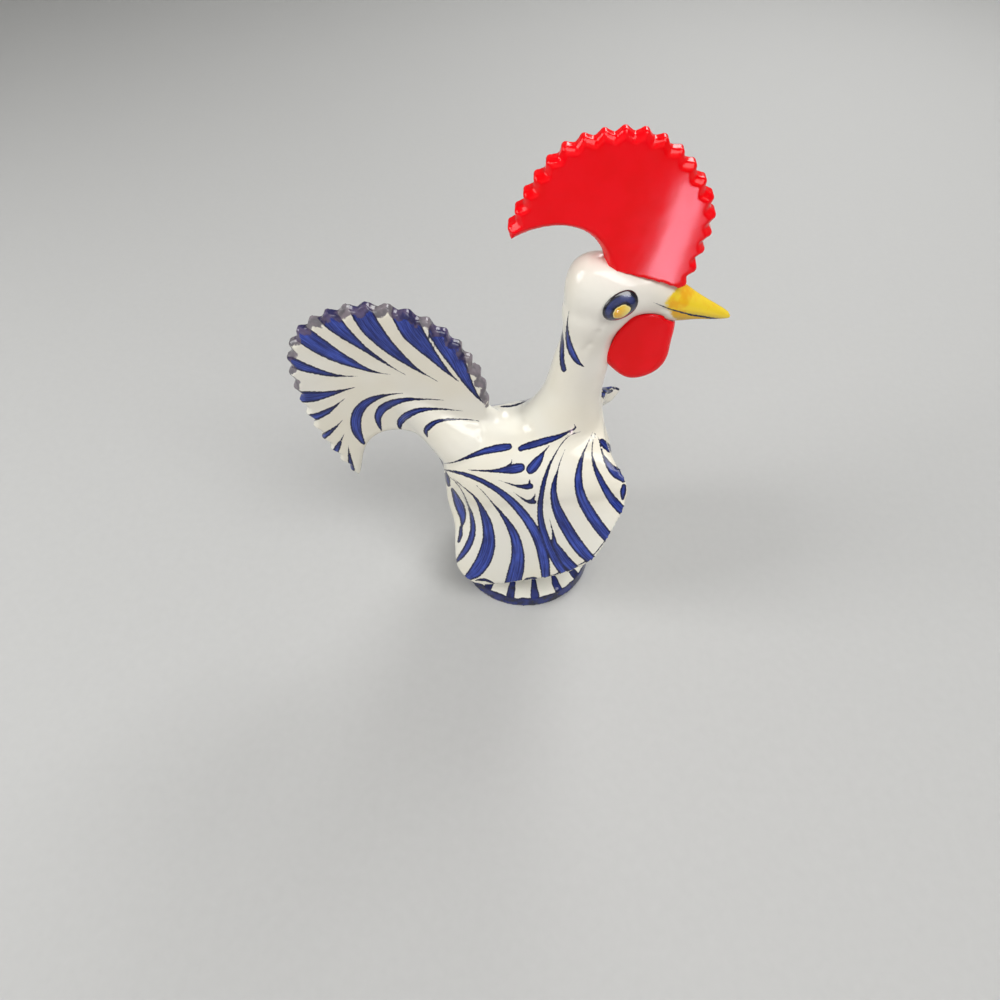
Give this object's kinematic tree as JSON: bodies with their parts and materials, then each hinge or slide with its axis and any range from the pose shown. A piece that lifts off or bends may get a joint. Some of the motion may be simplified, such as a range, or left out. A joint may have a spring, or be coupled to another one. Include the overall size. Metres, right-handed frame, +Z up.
{
  "type": "rooster of barcelos",
  "caption": "Hollow painted ceramic rooster with flared sides on a round foot, toothed fan comb, drop wattle, pointed beak and hooked toothed fan tail.",
  "frame": {"origin": "middle of the foot's flat underside, where the rooster stands", "axes": "+Z up, the beak points to +X, +Y to the rooster's left"},
  "size_m": [0.1557, 0.0736, 0.2043],
  "materials": {
    "glaze_foot": "gloss white glaze with dark blue stripes",
    "glaze_body": "gloss white glaze with dark blue brush strokes",
    "glaze_neck": "gloss white glaze",
    "glaze_head": "gloss white glaze",
    "red_comb": "gloss red",
    "red_wattle": "gloss red",
    "yellow_beak": "gloss yellow",
    "navy_eyes": "gloss navy with a yellow pupil",
    "glaze_tail": "gloss white glaze with dark blue brush strokes"
  },
  "bodies": {
    "root": {"foot": "glaze_foot", "body": "glaze_body", "neck": "glaze_neck", "head": "glaze_head", "comb": "red_comb", "wattle": "red_wattle", "beak": "yellow_beak", "eye_left": "navy_eyes", "eye_right": "navy_eyes", "tail_fan": "glaze_tail"}
  },
  "joints": []
}
